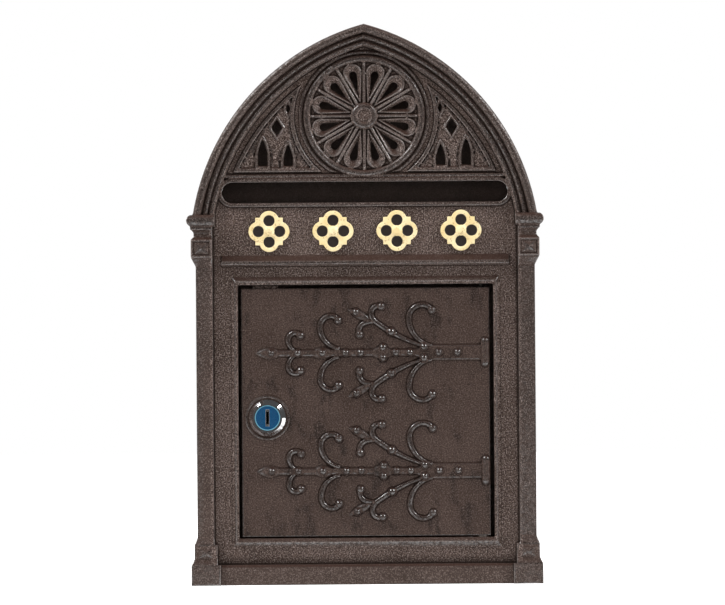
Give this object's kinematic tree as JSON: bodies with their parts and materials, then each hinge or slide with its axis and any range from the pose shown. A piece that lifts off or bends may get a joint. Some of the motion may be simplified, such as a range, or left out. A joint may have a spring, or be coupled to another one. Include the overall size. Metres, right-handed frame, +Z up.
{
  "type": "wall mounted mailbox",
  "caption": "Arched cast-iron wall letterbox with a rose window, posting slot, gold frieze ornaments and a lockable door with scrolled strap hinges on a sheet-steel casing.",
  "frame": {"origin": "centre of the four wall-screw holes, on the back face that lies on the wall", "axes": "+Z up, +Y into the wall, +X to the right of someone facing the door"},
  "size_m": [0.2744, 0.0879, 0.4306],
  "materials": {
    "cast_iron_brown": "rough sand-cast, dark brown paint rubbed lighter on the ridges",
    "gold_paint": "matte pale gold paint over the casting",
    "painted_sheet": "smooth dark brown powder coat",
    "zinc_steel": "zinc plated",
    "chrome": "polished",
    "lock_brass": "machined",
    "blue_face": "glossy blue anodised"
  },
  "bodies": {
    "case": {"front_frame": "cast_iron_brown", "frieze_ornaments": "gold_paint", "casing_wrap": "painted_sheet", "back_plate": "painted_sheet", "casing_rivets": "zinc_steel", "casing_washers": "zinc_steel", "casing_screws": "zinc_steel", "hinge_washer": "zinc_steel"},
    "door": {"door": "cast_iron_brown", "upper_hinge_pin": "zinc_steel", "lower_hinge_pin": "zinc_steel", "pin_set_screws": "zinc_steel", "lock_housing": "chrome", "lock_nut": "zinc_steel", "lock_nut_washer": "zinc_steel"},
    "lock_plug": {"lock_plug": "lock_brass", "lock_face_disc": "blue_face", "lock_wafers": "lock_brass", "wafer_springs": "zinc_steel", "cam_stop_washer": "zinc_steel", "lock_cam": "zinc_steel", "cam_spring_washer": "zinc_steel", "cam_nut": "zinc_steel"}
  },
  "joints": [
    {"name": "door_hinge", "type": "hinge", "parent": "case", "child": "door", "pos_m": [0.089, -0.071, -0.03], "axis": [0, 0, 1], "range_deg": [0, 110]},
    {"name": "lock_turn", "type": "hinge", "parent": "door", "child": "lock_plug", "pos_m": [-0.076, -0.075, -0.0317], "axis": [0, 1, 0], "range_deg": [0, 90]}
  ]
}
